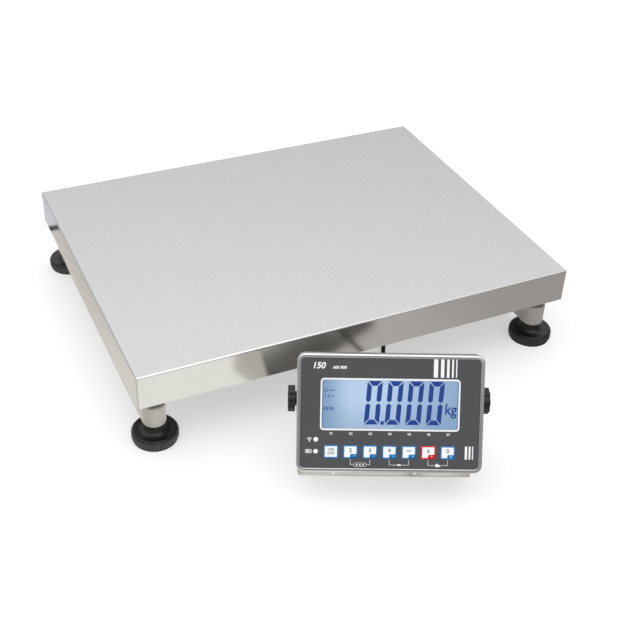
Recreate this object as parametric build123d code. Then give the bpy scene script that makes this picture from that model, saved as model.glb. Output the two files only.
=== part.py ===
from build123d import *

import math
import os

# Platform scale with a separate weighing terminal on a tilting table bracket. Millimetres.
# The origin is the centre of the weighing surface, +X runs along the long side of the pan,
# -Y is the side where the operator stands and +Z is up.

# Weighing pan
pan_length = 650.0
pan_width = 500.0
pan_sheet = 1.5
pan_skirt_height = 50.5
pan_edge_radius = 2.5
pan_corner_radius = 2.5
stiffener_pitch = 200.0
stiffener_length = 330.0
stiffener_height = 12.0
stiffener_crown = 24.0
stiffener_flange = 9.0
stiffener_sheet = 1.2

# Rubber bumpers between carrier and pan
bumper_radius = 12.5
bumper_height = 5.0
bumper_span_x = 530.0
bumper_recess_radius = 4.0
bumper_recess_depth = 1.5
bumper_edge_chamfer = 1.0

# Carrier frame on top of the load cell
bar_height = 20.0
bar_width = 30.0
bar_wall = 2.0
tube_edge_radius = 2.5
side_bar_length = 610.0
side_bar_spacing = 380.0
cross_bar_spacing = 180.0
carrier_plate_length = 210.0
carrier_plate_width = 120.0
carrier_plate_thickness = 5.0
carrier_plate_corner = 6.0

# Single point load cell, which lies along X
cell_length = 150.0
cell_width = 40.0
cell_height = 38.0
cell_eye_radius = 11.0
cell_eye_spacing = 40.0
cell_slot_height = 7.0
cell_edge_chamfer = 1.0
spacer_length = 45.0
spacer_thickness = 4.0
cell_screw_radius = 4.0
cell_screw_spacing = 20.0
cell_screw_inset = 22.5
cell_screw_grip = 14.0
cell_screw_head_radius = 6.5
cell_screw_head_height = 8.0
cell_screw_socket_flats = 6.0
cell_screw_socket_depth = 4.0
cell_thread_spare = 2.0
screw_clearance = 0.3
thread_clearance = 0.05

# Base frame
beam_width = 32.0
beam_height = 32.0
beam_wall = 2.0
beam_edge_radius = 3.0
access_hole_radius = 10.0
cross_tube_height = 20.0
cross_tube_width = 30.0
cross_tube_wall = 2.0
cross_tube_spacing = 300.0
channel_width = 80.0
channel_wall = 3.0

# Levelling feet
foot_span_x = 595.0
foot_span_y = 447.6
foot_height = 29.9
foot_radius = 31.7
foot_rib_count = 40
foot_rib_depth = 0.9
foot_rib_width = 2.4
foot_rib_root = 0.5
foot_rib_start = 0.6
foot_rib_end = 0.2
foot_rib_chamfer = 0.6
foot_rim_height = 10.5
foot_shoulder_radius = 26.5
foot_shoulder_drop = 2.0
foot_crown_inset = 0.9
foot_crown_drop = 0.35
foot_boss_radius = 14.0
foot_boss_height = 4.0
foot_neck_radius = 11.0
foot_stud_radius = 5.0
foot_stud_reach = 25.5
sole_radius = 30.2
sole_thickness = 3.0
sole_groove_width = 2.0
sole_groove_depth = 1.0
sole_groove_radii = (10.0, 17.0, 24.0)
seat_gap = 0.3
insert_radius = 9.0
insert_flange_radius = 12.0
insert_flange_thickness = 3.0
insert_length = 21.5
insert_clearance = 0.05

# Overload stops under the ends of the side bars
stop_radius = 4.0
stop_gap = 2.0
stop_reach_below = 12.0
stop_nut_flats = 13.0
stop_nut_height = 6.5
stop_tip_chamfer = 0.6

# Spirit level on the front cross tube
level_x = 200.0
level_radius = 14.0
level_height = 11.0
level_floor = 2.0
level_edge_radius = 1.0
vial_radius = 11.0
vial_height = 8.0
vial_dome_radius = 1.5

# Weighing terminal housing
terminal_x = -37.3
terminal_y = -382.6
terminal_yaw = -23.6
terminal_lean = 30.7
pivot_height = 105.8
pivot_above_face_centre = 13.0
pivot_behind_face = 28.0
housing_width = 232.0
housing_height = 148.0
housing_corner_radius = 10.0
rim_width = 5.0
rim_proud = 1.2
rim_round = 2.2
rim_inner_round = 0.9
shell_depth = 11.5
shell_frame_width = 10.5
shell_plate = 1.5
overlay_thickness = 1.4
overlay_corner_radius = 5.0
seal_thickness = 1.5
seal_width = 6.0
seal_inset = 0.5
tub_width = 208.0
tub_height = 127.0
tub_depth = 34.0
tub_wall = 1.5
tub_corner_radius = 14.0
tub_edge_radius = 6.0
rear_screw_radius = 1.5
rear_screw_head_radius = 2.8
rear_screw_head_height = 2.0
rear_screw_head_round = 0.9
rear_screw_socket_flats = 2.0
rear_screw_socket_depth = 1.2
rear_screw_length = 8.0
rear_screw_spread = (-102.0, -34.0, 34.0, 102.0)

# Display
window_width = 171.0
window_height = 64.0
window_above_face_centre = 11.2
window_corner_radius = 4.0
window_margin = 1.0
glass_thickness = 2.5
glass_corner_radius = 1.0
display_frame_depth = 5.0
display_frame_border = 3.0
display_frame_corner = 1.5
board_thickness = 1.6
board_length = 196.0
board_height = 112.0
board_corner_radius = 2.0
board_spacer_radius = 3.0
board_spacer_bore = 1.4
board_spacer_spread_x = 164.0
board_spacer_spread_z = 102.0
battery_length = 110.0
battery_height = 40.0
battery_depth = 18.0
battery_corner_radius = 4.0
battery_above_face_centre = 20.0

# Keys
key_count = 7
key_pitch = 24.2
key_width = 18.0
key_height = 16.5
key_corner_radius = 1.2
key_thickness = 0.7
key_below_face_centre = 48.3
key_gap = 0.2
plunger_radius = 1.75
plunger_entry = 0.7
plunger_hole_radius = 3.0
switch_side = 6.0
switch_corner_radius = 0.5
switch_bore_radius = 2.1
switch_bore_depth = 1.4
light_radius = 2.4
light_x = -91.4
light_below_face_centre = (32.9, 47.9)
light_gap = 0.1
light_dome = 0.5

# Table bracket and clamping knobs
bracket_width = 226.8
bracket_sheet = 1.5
bracket_front = 29.0
bracket_depth = 77.0
bracket_bend_radius = 3.5
bracket_foot_radius = 8.0
arm_head_radius = 12.5
arm_front_at_base = 27.0
arm_rear_at_base = 40.0
bracket_hole_radius = 3.0
bracket_hole_from_front = 4.5
bracket_hole_x = (-66.0, 40.0)
relief_width = 2.0
relief_length = 5.0
relief_height = 9.0
pivot_stud_radius = 4.0
pivot_stud_clearance = 0.08
pivot_insert_radius = 7.0
pivot_insert_flange = 10.0
pivot_insert_flange_thickness = 2.0
pivot_insert_depth = 14.0
pivot_stud_engagement = 14.0
side_gap = 0.3
washer_radius = 9.5
washer_thickness = 1.6
face_gap = 0.05
knob_radius = 16.6
knob_lobes = 8
knob_scallop_radius = 5.2
knob_scallop_depth = 1.9
knob_disc_thickness = 9.0
knob_neck_radius = 9.1
knob_neck_length = 2.5
knob_edge_round = 1.2
knob_lobe_round = 1.0
knob_dish_radius = 10.5
knob_dish_depth = 1.6

# Cable and its glands
cable_diameter = 6.5
gland_x = 45.0
gland_below_pivot = 50.0
gland_length = 24.0
gland_body_length = 6.0
gland_flats = 19.0
gland_cap_length = 12.0
gland_cap_radius = 8.8
gland_mouth_radius = 6.8
gland_nut_flats = 13.8
gland_thread_radius = 6.0
gland_nut_length = 4.0
gland_clearance = 0.1
gland_bore_radius = 3.55
inlet_x = -45.0
inlet_flange_radius = 10.0
inlet_flange_length = 3.0
inlet_radius = 7.0
inlet_thread_radius = 6.0
inlet_socket_radius = 5.5
inlet_length = 12.0
inlet_socket_depth = 9.0
base_gland_y = -50.0
base_gland_drop = 11.5
coil_x = 90.0
coil_y = -80.0
coil_mean_radius = 36.0
coil_columns = 4
coil_layers = 2
coil_pitch = 6.6
coil_edge_radius = 2.5
tie_width = 5.0
tie_thickness = 0.8
tie_clearance = 0.25
tie_angles = (60.0, 240.0)

# Heights of the stack, counted down from the weighing surface
pan_underside = -pan_sheet
carrier_top = pan_underside - bumper_height
carrier_bottom = carrier_top - bar_height
plate_bottom = carrier_bottom - carrier_plate_thickness
cell_top = plate_bottom - spacer_thickness
cell_bottom = cell_top - cell_height
base_top = cell_bottom - spacer_thickness
base_bottom = base_top - cross_tube_height
beam_top = base_bottom + beam_height
floor_level = base_bottom - foot_height

# Terminal frame: origin on the tilt axis, x to the right, y into the housing, z up the face
face_y = -pivot_behind_face
face_z = -pivot_above_face_centre
rim_y = face_y - rim_proud
overlay_back = face_y + overlay_thickness
plate_back = overlay_back + shell_plate
shell_back = rim_y + shell_depth + rim_proud
tub_front = shell_back + seal_thickness
tub_back = tub_front + tub_depth
glass_back = plate_back + glass_thickness
board_front = glass_back + display_frame_depth
board_back = board_front + board_thickness
switch_front = board_front - display_frame_depth
window_z = face_z + window_above_face_centre
key_z = face_z - key_below_face_centre
arm_outer = bracket_width / 2
arm_inner = arm_outer - bracket_sheet

# The wound cable
coil_spread = ((coil_columns - 1) * coil_pitch + cable_diameter) / 2
coil_height = (coil_layers - 1) * coil_pitch + cable_diameter

bracket_place = Pos(terminal_x, terminal_y, floor_level + pivot_height) * Rot(0, 0, terminal_yaw)
housing_place = bracket_place * Rot(-terminal_lean, 0, 0)


def box_between(x0, x1, y0, y1, z0, z1):
    """A box given by its limits on each axis."""
    middle = Pos((x0 + x1) / 2, (y0 + y1) / 2, (z0 + z1) / 2)
    return middle * Box(x1 - x0, y1 - y0, z1 - z0)


def upright(x, y, z0, z1, radius):
    """A cylinder along Z between two heights."""
    return Pos(x, y, (z0 + z1) / 2) * Cylinder(radius, z1 - z0)


def along_y(x, z, y0, y1, radius):
    """A cylinder along Y between two depths."""
    return Pos(x, (y0 + y1) / 2, z) * Rot(90, 0, 0) * Cylinder(radius, y1 - y0)


def face_block(width, height, radius, y0, y1, z=face_z, x=0.0):
    """A rounded rectangle of the terminal's face, extruded through the housing's depth."""
    outline = Plane.XZ.offset(-y0) * Pos(x, z) * RectangleRounded(width, height, radius)
    return extrude(outline, -(y1 - y0))


def hexagon_bar(flats, length):
    """A hexagonal bar on Z that starts at zero."""
    return extrude(RegularPolygon(flats / 2, 6, major_radius=False), length)


def mirrored_pairs(x, y):
    """The four points at plus and minus x and y."""
    return [(sx * x, sy * y) for sy in (-1, 1) for sx in (-1, 1)]


# Pan and stiffeners


def weighing_pan():
    """Folded tray: flat top, four skirts, small bend radius."""
    block = box_between(-pan_length / 2, pan_length / 2, -pan_width / 2, pan_width / 2, -pan_skirt_height, 0)
    corners = block.edges().filter_by(Axis.Z)
    block = fillet(corners, pan_corner_radius)
    block = fillet(block.faces().sort_by(Axis.Z)[-1].edges(), pan_edge_radius)
    return offset(block, -pan_sheet, openings=block.faces().sort_by(Axis.Z)[0])


def pan_stiffeners():
    """Three hat sections under the pan, between the side bars."""
    half = stiffener_crown / 2
    skin = stiffener_sheet
    low = -stiffener_height
    outer = Polyline(
        (-half - stiffener_flange, 0),
        (-half, 0),
        (-half, low),
        (half, low),
        (half, 0),
        (half + stiffener_flange, 0),
    )
    section = offset(outer, amount=skin / 2, side=Side.BOTH)
    profile = make_face(section)
    bar = extrude(Plane.XZ.offset(-stiffener_length / 2) * profile, stiffener_length)
    bar = Pos(0, 0, pan_underside - skin / 2) * bar
    return [Pos(x, 0, 0) * bar for x in (-stiffener_pitch, 0, stiffener_pitch)]


def bumpers():
    """Rubber bumpers near the ends of the side bars."""
    pieces = []
    for x, y in mirrored_pairs(bumper_span_x / 2, side_bar_spacing / 2):
        body = upright(x, y, carrier_top, pan_underside, bumper_radius)
        body = chamfer(body.edges().group_by(Axis.Z)[-1], bumper_edge_chamfer)
        body -= upright(x, y, pan_underside - bumper_recess_depth, pan_underside, bumper_recess_radius)
        pieces.append(body)
    return pieces


# Carrier


def square_tube(length, width, height, wall):
    """Hollow section along X, centred in Y, top at zero."""
    outer = Rectangle(width, height)
    outer = fillet(outer.vertices(), tube_edge_radius)
    inner = Rectangle(width - 2 * wall, height - 2 * wall)
    section = Plane.YZ.offset(-length / 2) * (outer - inner)
    return Pos(0, 0, -height / 2) * extrude(section, length)


def carrier_side_bars():
    """Two long tubes that carry the bumpers."""
    tube = square_tube(side_bar_length, bar_width, bar_height, bar_wall)
    return [Pos(0, y, carrier_top) * tube for y in (-side_bar_spacing / 2, side_bar_spacing / 2)]


def carrier_cross_bars():
    """Two short tubes between the side bars."""
    length = side_bar_spacing - bar_width
    tube = Rot(0, 0, 90) * square_tube(length, bar_width, bar_height, bar_wall)
    return [Pos(x, 0, carrier_top) * tube for x in (-cross_bar_spacing / 2, cross_bar_spacing / 2)]


def cell_screw_points(end):
    """Screw places on one end of the load cell, -1 for the fixed end and 1 for the moving end."""
    middle = end * (cell_length / 2 - cell_screw_inset)
    return [middle - cell_screw_spacing / 2, middle + cell_screw_spacing / 2]


def carrier_plate():
    """Plate under the cross bars, screwed to the moving end of the load cell."""
    half_x = carrier_plate_length / 2
    half_y = carrier_plate_width / 2
    plate = box_between(-half_x, half_x, -half_y, half_y, plate_bottom, carrier_bottom)
    plate = fillet(plate.edges().filter_by(Axis.Z), carrier_plate_corner)
    for x in cell_screw_points(1):
        plate -= upright(x, 0, plate_bottom, carrier_bottom, cell_screw_radius + screw_clearance)
    return plate


def cell_spacers():
    """Machined spacers that keep the ends of the load cell clear."""
    pieces = []
    half_y = cell_width / 2
    for end, low in ((1, cell_top), (-1, base_top)):
        middle = end * (cell_length / 2 - cell_screw_inset)
        x0 = middle - spacer_length / 2
        high = low + spacer_thickness
        block = box_between(x0, x0 + spacer_length, -half_y, half_y, low, high)
        for x in cell_screw_points(end):
            block -= upright(x, 0, low, high, cell_screw_radius + screw_clearance)
        pieces.append(block)
    return pieces


def load_cell():
    """Beam with the two linked eyes that make four thin flexures."""
    half = cell_length / 2
    middle = (cell_top + cell_bottom) / 2
    beam = box_between(-half, half, -cell_width / 2, cell_width / 2, cell_bottom, cell_top)
    beam = chamfer(beam.edges().filter_by(Axis.X), cell_edge_chamfer)
    window = Pos(0, middle) * Rectangle(cell_eye_spacing, cell_slot_height)
    for x in (-cell_eye_spacing / 2, cell_eye_spacing / 2):
        window += Pos(x, middle) * Circle(cell_eye_radius)
    beam -= extrude(Plane.XZ * window, cell_width, both=True)
    depth = cell_screw_grip + cell_thread_spare
    for x in cell_screw_points(1):
        beam -= upright(x, 0, cell_top - depth, cell_top, cell_screw_radius + thread_clearance)
    for x in cell_screw_points(-1):
        beam -= upright(x, 0, cell_bottom, cell_bottom + depth, cell_screw_radius + thread_clearance)
    return beam


def socket_screw(head_at, direction, grip, x):
    """Cap screw on Z: the head's seat is at head_at, the shank runs along direction."""
    head_end = head_at - direction * cell_screw_head_height
    tip = head_at + direction * grip
    head = upright(x, 0, min(head_at, head_end), max(head_at, head_end), cell_screw_head_radius)
    shank = upright(x, 0, min(head_at, tip), max(head_at, tip), cell_screw_radius)
    hexagon = hexagon_bar(cell_screw_socket_flats, cell_screw_socket_depth)
    socket_low = min(head_end, head_end + direction * cell_screw_socket_depth)
    return head + shank - Pos(x, 0, socket_low) * hexagon


def cell_screws():
    """Two cap screws down into the moving end, two up into the fixed end."""
    upper_grip = carrier_plate_thickness + spacer_thickness + cell_screw_grip
    lower_grip = channel_wall + spacer_thickness + cell_screw_grip
    upper = [socket_screw(carrier_bottom, -1, upper_grip, x) for x in cell_screw_points(1)]
    lower = [socket_screw(base_top - channel_wall, 1, lower_grip, x) for x in cell_screw_points(-1)]
    return upper + lower


# Base frame


def side_beam(side):
    """Closed beam with half-round ends that stand over the feet; side is -1 or 1."""
    x = side * foot_span_x / 2
    outline = SlotCenterToCenter(foot_span_y, beam_width, rotation=90)
    solid = extrude(Plane.XY.offset(base_bottom) * Pos(x, 0) * outline, beam_height)
    solid = fillet(solid.faces().sort_by(Axis.Z)[-1].edges(), beam_edge_radius)
    core = SlotCenterToCenter(foot_span_y, beam_width - 2 * beam_wall, rotation=90)
    solid -= extrude(Plane.XY.offset(base_bottom + beam_wall) * Pos(x, 0) * core, beam_height - 2 * beam_wall)
    for y in (-foot_span_y / 2, foot_span_y / 2):
        solid -= upright(x, y, beam_top - 2 * beam_wall, beam_top, access_hole_radius)
        solid -= upright(x, y, base_bottom, base_bottom + beam_wall, insert_radius + insert_clearance)
    for y in (-side_bar_spacing / 2, side_bar_spacing / 2):
        solid -= upright(x, y, beam_top - beam_wall, beam_top, stop_radius + thread_clearance)
    return solid


def cross_tubes():
    """Front and rear tubes between the side beams."""
    length = foot_span_x - beam_width
    tube = square_tube(length, cross_tube_width, cross_tube_height, cross_tube_wall)
    return [Pos(0, y, base_top) * tube for y in (-cross_tube_spacing / 2, cross_tube_spacing / 2)]


def channel_centre():
    """The centre channel lies under the fixed end of the load cell."""
    return -(cell_length / 2 - cell_screw_inset)


def centre_channel():
    """Channel open downwards, welded between the cross tubes."""
    x = channel_centre()
    length = cross_tube_spacing - cross_tube_width
    half = channel_width / 2
    solid = box_between(x - half, x + half, -length / 2, length / 2, base_bottom, base_top)
    solid = fillet(solid.faces().sort_by(Axis.Z)[-1].edges().filter_by(Axis.Y), channel_wall)
    inner = half - channel_wall
    solid -= box_between(x - inner, x + inner, -length / 2, length / 2, base_bottom, base_top - channel_wall)
    for hole_x in cell_screw_points(-1):
        solid -= upright(hole_x, 0, base_top - channel_wall, base_top, cell_screw_radius + screw_clearance)
    gland_z = base_top - base_gland_drop
    bore = Rot(0, 90, 0) * Cylinder(gland_thread_radius + gland_clearance, channel_wall)
    solid -= Pos(x + half - channel_wall / 2, base_gland_y, gland_z) * bore
    return solid


def leg_inserts():
    """Threaded bushes in the floor of each beam end."""
    pieces = []
    for x, y in mirrored_pairs(foot_span_x / 2, foot_span_y / 2):
        inside = base_bottom + beam_wall
        bush = upright(x, y, base_bottom, base_bottom + insert_length, insert_radius)
        bush += upright(x, y, inside, inside + insert_flange_thickness, insert_flange_radius)
        bush -= upright(x, y, base_bottom, base_bottom + insert_length, foot_stud_radius + thread_clearance)
        pieces.append(bush)
    return pieces


def stop_points():
    """Overload stops stand on the beams under the ends of the side bars."""
    return mirrored_pairs(foot_span_x / 2, side_bar_spacing / 2)


def stop_screws():
    """Set screws whose tops catch the side bars when the pan is overloaded."""
    pieces = []
    for x, y in stop_points():
        screw = upright(x, y, beam_top - stop_reach_below, carrier_bottom - stop_gap, stop_radius)
        pieces.append(chamfer(screw.edges().group_by(Axis.Z)[-1], stop_tip_chamfer))
    return pieces


def stop_nuts():
    """Lock nuts of the overload stops."""
    pieces = []
    for x, y in stop_points():
        nut = Pos(x, y, beam_top) * hexagon_bar(stop_nut_flats, stop_nut_height)
        nut -= upright(x, y, beam_top, beam_top + stop_nut_height, stop_radius + thread_clearance)
        pieces.append(nut)
    return pieces


# Feet


def foot_sole(x, y):
    """Rubber sole with three grooves, which stays still while the foot turns."""
    low = floor_level
    sole = upright(x, y, low, low + sole_thickness, sole_radius)
    for ring in sole_groove_radii:
        groove = upright(x, y, low, low + sole_groove_depth, ring + sole_groove_width / 2)
        groove -= upright(x, y, low, low + sole_groove_depth, ring - sole_groove_width / 2)
        sole -= groove
    return sole


def foot_disc(x, y):
    """Ribbed foot with shoulder, boss, neck and threaded stud."""
    low = sole_thickness
    rim_top = low + foot_rim_height
    shoulder = rim_top + foot_shoulder_drop
    boss_top = shoulder + foot_boss_height
    neck_top = foot_height - seat_gap
    core_radius = foot_radius - foot_rib_depth
    round_start = (core_radius, rim_top)
    round_end = (foot_shoulder_radius, shoulder)
    round_middle = (core_radius - foot_crown_inset, shoulder - foot_crown_drop)
    outline = [
        Line((0, low), (core_radius, low)),
        Line((core_radius, low), round_start),
        ThreePointArc(round_start, round_middle, round_end),
        Line(round_end, (foot_boss_radius, shoulder)),
        Line((foot_boss_radius, shoulder), (foot_boss_radius, boss_top)),
        Line((foot_boss_radius, boss_top), (foot_neck_radius, boss_top)),
        Line((foot_neck_radius, boss_top), (foot_neck_radius, neck_top)),
        Line((foot_neck_radius, neck_top), (foot_stud_radius, neck_top)),
        Line((foot_stud_radius, neck_top), (foot_stud_radius, neck_top + foot_stud_reach)),
        Line((foot_stud_radius, neck_top + foot_stud_reach), (0, neck_top + foot_stud_reach)),
        Line((0, neck_top + foot_stud_reach), (0, low)),
    ]
    body = revolve(Plane.XZ * make_face(Curve() + outline), Axis.Z)
    half_rib = foot_rib_width / 2
    rib_low = low + foot_rib_start
    rib_high = rim_top - foot_rib_end
    rib = box_between(core_radius - foot_rib_root, foot_radius, -half_rib, half_rib, rib_low, rib_high)
    outer_edges = rib.edges().filter_by(Axis.Z).group_by(Axis.X)[-1]
    rib = chamfer(outer_edges, foot_rib_chamfer)
    body = body + [Rot(0, 0, 360 * i / foot_rib_count) * rib for i in range(foot_rib_count)]
    return Pos(x, y, floor_level) * body


# Spirit level


def level_holder():
    """Round cup on the front cross tube."""
    y = -cross_tube_spacing / 2
    cup = upright(level_x, y, base_top, base_top + level_height, level_radius)
    cup = fillet(cup.edges().group_by(Axis.Z)[-1], level_edge_radius)
    cup -= upright(level_x, y, base_top + level_floor, base_top + level_height, vial_radius + screw_clearance)
    return cup


def level_vial():
    """Closed vial with a domed top."""
    y = -cross_tube_spacing / 2
    low = base_top + level_floor
    vial = upright(level_x, y, low, low + vial_height, vial_radius)
    return fillet(vial.edges().group_by(Axis.Z)[-1], vial_dome_radius)


# Terminal housing


def front_shell():
    """Front frame with a proud rounded rim, a recess for the overlay and a cavity behind its plate."""
    shell = face_block(housing_width, housing_height, housing_corner_radius, rim_y, shell_back)
    shell = fillet(shell.faces().sort_by(Axis.Y)[0].edges(), rim_round)
    overlay_width = housing_width - 2 * rim_width
    overlay_height = housing_height - 2 * rim_width
    recess = face_block(overlay_width, overlay_height, overlay_corner_radius, rim_y, overlay_back)
    shell -= recess
    lip = shell.faces().filter_by(Axis.Y).sort_by(Axis.Y)[0].inner_wires()[0].edges()
    shell = fillet(lip, rim_inner_round)
    cavity_width = housing_width - 2 * shell_frame_width
    cavity_height = housing_height - 2 * shell_frame_width
    shell -= face_block(cavity_width, cavity_height, overlay_corner_radius, plate_back, shell_back)
    window = face_block(
        window_width - 2 * window_margin,
        window_height - 2 * window_margin,
        window_corner_radius,
        overlay_back,
        plate_back,
        window_z,
    )
    shell -= window
    for x in key_places():
        shell -= along_y(x, key_z, overlay_back, plate_back, plunger_hole_radius)
    for drop in light_below_face_centre:
        shell -= along_y(light_x, face_z - drop, overlay_back, plate_back, light_radius + light_gap)
    thread_start = shell_back - rear_screw_grip()
    for x, z in rear_screw_points():
        shell -= along_y(x, z, thread_start, shell_back, rear_screw_radius + thread_clearance)
    return shell


def key_places():
    """Key centres, evenly spaced about the middle of the face."""
    return [(i - (key_count - 1) / 2) * key_pitch for i in range(key_count)]


def rear_screw_points():
    """Screws along the top and the bottom flange of the tub."""
    offset_z = (housing_height + tub_height) / 4
    return [(x, face_z + s * offset_z) for s in (-1, 1) for x in rear_screw_spread]


def rear_screw_grip():
    """Length of a rear screw inside the front shell."""
    return rear_screw_length - seal_thickness - tub_wall


def housing_seal():
    """Rubber ring between the front shell and the tub's flange."""
    width = housing_width - 2 * seal_inset
    height = housing_height - 2 * seal_inset
    ring = face_block(width, height, housing_corner_radius, shell_back, tub_front)
    hole_width = housing_width - 2 * seal_width
    hole_height = housing_height - 2 * seal_width
    ring -= face_block(hole_width, hole_height, overlay_corner_radius, shell_back, tub_front)
    for x, z in rear_screw_points():
        ring -= along_y(x, z, shell_back, tub_front, rear_screw_radius + screw_clearance)
    return ring


def rear_tub():
    """Deep-drawn tub with a flange, open towards the front shell."""
    flange = face_block(housing_width, housing_height, housing_corner_radius, tub_front, tub_front + tub_wall)
    body = face_block(tub_width, tub_height, tub_corner_radius, tub_front, tub_back)
    body = fillet(body.faces().sort_by(Axis.Y)[-1].edges(), tub_edge_radius)
    inside_width = tub_width - 2 * tub_wall
    inside_height = tub_height - 2 * tub_wall
    inside_radius = tub_corner_radius - tub_wall
    cavity = face_block(inside_width, inside_height, inside_radius, tub_front, tub_back - tub_wall)
    cavity = fillet(cavity.faces().sort_by(Axis.Y)[-1].edges(), tub_edge_radius - tub_wall)
    tub = flange + body - cavity
    for x, z in rear_screw_points():
        tub -= along_y(x, z, tub_front, tub_front + tub_wall, rear_screw_radius + screw_clearance)
    for x, radius in ((gland_x, gland_thread_radius), (inlet_x, inlet_thread_radius)):
        tub -= along_y(x, -gland_below_pivot, tub_back - tub_wall, tub_back, radius + gland_clearance)
    for side in (-1, 1):
        bore = Rot(0, 90, 0) * Cylinder(pivot_insert_radius + insert_clearance, 2 * tub_wall)
        tub -= Pos(side * (tub_width / 2 - tub_wall / 2), 0, 0) * bore
    return tub


def rear_screws():
    """Button-head screws through the flange."""
    pieces = []
    seat = tub_front + tub_wall
    for x, z in rear_screw_points():
        head = along_y(x, z, seat, seat + rear_screw_head_height, rear_screw_head_radius)
        head = fillet(head.edges().group_by(Axis.Y)[-1], rear_screw_head_round)
        head += along_y(x, z, seat - rear_screw_length, seat, rear_screw_radius)
        socket = hexagon_bar(rear_screw_socket_flats, rear_screw_socket_depth)
        head -= Pos(x, seat + rear_screw_head_height, z) * Rot(90, 0, 0) * socket
        pieces.append(head)
    return pieces


def overlay_foil():
    """Printed foil on the face, with openings for the keys, the window and the lights."""
    width = housing_width - 2 * rim_width - key_gap
    height = housing_height - 2 * rim_width - key_gap
    foil = face_block(width, height, overlay_corner_radius, face_y, overlay_back)
    foil -= face_block(window_width, window_height, window_corner_radius, face_y, overlay_back, window_z)
    for x in key_places():
        opening_width = key_width + 2 * key_gap
        opening_height = key_height + 2 * key_gap
        foil -= face_block(opening_width, opening_height, key_corner_radius, face_y, overlay_back, key_z, x)
    for drop in light_below_face_centre:
        foil -= along_y(light_x, face_z - drop, face_y, overlay_back, light_radius + light_gap)
    return foil


def display_window():
    """Clear pane, flush with the foil."""
    width = window_width - key_gap
    height = window_height - key_gap
    return face_block(width, height, window_corner_radius, face_y, overlay_back, window_z)


def display_glass():
    """Liquid crystal glass behind the front plate."""
    return face_block(window_width, window_height, glass_corner_radius, plate_back, glass_back, window_z)


def display_frame():
    """Backlight tray behind the glass, as one block."""
    width = window_width + 2 * display_frame_border
    height = window_height + 2 * display_frame_border
    return face_block(width, height, display_frame_corner, glass_back, board_front, window_z)


def board_spacer_points():
    """Spacers carry the board above and below the display."""
    corners = mirrored_pairs(board_spacer_spread_x / 2, board_spacer_spread_z / 2)
    return [(x, face_z + z) for x, z in corners]


def main_board():
    """Circuit board behind display and keys."""
    board = face_block(board_length, board_height, board_corner_radius, board_front, board_back)
    for x, z in board_spacer_points():
        board -= along_y(x, z, board_front, board_back, board_spacer_bore)
    return board


def board_spacers():
    """Threaded spacers between the front plate and the board."""
    pieces = []
    for x, z in board_spacer_points():
        post = along_y(x, z, plate_back, board_front, board_spacer_radius)
        pieces.append(post - along_y(x, z, plate_back, board_front, board_spacer_bore))
    return pieces


def battery_pack():
    """Rechargeable pack that rests against the rear wall of the tub."""
    back = tub_back - tub_wall
    front = back - battery_depth
    middle = face_z + battery_above_face_centre
    return face_block(battery_length, battery_height, battery_corner_radius, front, back, middle)


def key(x):
    """Key pad with its plunger, whose tip stands in the bore of the switch."""
    pad = face_block(key_width, key_height, key_corner_radius, face_y, face_y + key_thickness, key_z, x)
    return pad + along_y(x, key_z, face_y + key_thickness, switch_front + plunger_entry, plunger_radius)


def key_switches():
    """Push switches on the board, one behind each key."""
    pieces = []
    front = switch_front
    for x in key_places():
        body = face_block(switch_side, switch_side, switch_corner_radius, front, board_front, key_z, x)
        pieces.append(body - along_y(x, key_z, front, front + switch_bore_depth, switch_bore_radius))
    return pieces


def status_lights():
    """Two light pipes from the board to the face."""
    pieces = []
    for drop in light_below_face_centre:
        pipe = along_y(light_x, face_z - drop, face_y, board_front, light_radius)
        pieces.append(fillet(pipe.edges().group_by(Axis.Y)[0], light_dome))
    return pieces


def gland_body(wall):
    """Cable gland along +Z: the nut and thread below zero, the body and cap above."""
    body = hexagon_bar(gland_flats, gland_body_length)
    profile = [
        (0, gland_body_length),
        (gland_cap_radius, gland_body_length),
        (gland_cap_radius, gland_cap_length),
        (gland_mouth_radius, gland_length),
        (0, gland_length),
    ]
    cap = revolve(Plane.XZ * make_face(Polyline(profile, close=True)), Axis.Z)
    thread = upright(0, 0, -wall, 0, gland_thread_radius)
    nut = Pos(0, 0, -wall - gland_nut_length) * hexagon_bar(gland_nut_flats, gland_nut_length)
    bore = upright(0, 0, -wall - gland_nut_length, gland_length, gland_bore_radius)
    return body + cap + thread + nut - bore


def cable_gland():
    """Gland low on the rear of the tub."""
    return Pos(gland_x, tub_back, -gland_below_pivot) * Rot(-90, 0, 0) * gland_body(tub_wall)


def power_inlet():
    """Round power inlet beside the gland."""
    place = Pos(inlet_x, tub_back, -gland_below_pivot) * Rot(-90, 0, 0)
    body = upright(0, 0, 0, inlet_flange_length, inlet_flange_radius)
    body += upright(0, 0, 0, inlet_length, inlet_radius)
    body += upright(0, 0, -tub_wall, 0, inlet_thread_radius)
    body -= upright(0, 0, inlet_length - inlet_socket_depth, inlet_length, inlet_socket_radius)
    return place * body


def pivot_inserts():
    """Threaded inserts in the side walls of the tub, in which the clamping knobs turn."""
    pieces = []
    outer = arm_inner - side_gap
    wall_face = tub_width / 2
    inner = outer - pivot_insert_depth
    for side in (-1, 1):
        body = Pos(0, 0, (outer + inner) / 2) * Cylinder(pivot_insert_radius, outer - inner)
        flange_middle = wall_face + pivot_insert_flange_thickness / 2
        body += Pos(0, 0, flange_middle) * Cylinder(pivot_insert_flange, pivot_insert_flange_thickness)
        body -= Pos(0, 0, (outer + inner) / 2) * Cylinder(pivot_stud_radius + thread_clearance, outer - inner)
        pieces.append(Rot(0, side * 90, 0) * body)
    return pieces


# Bracket and knobs


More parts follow.
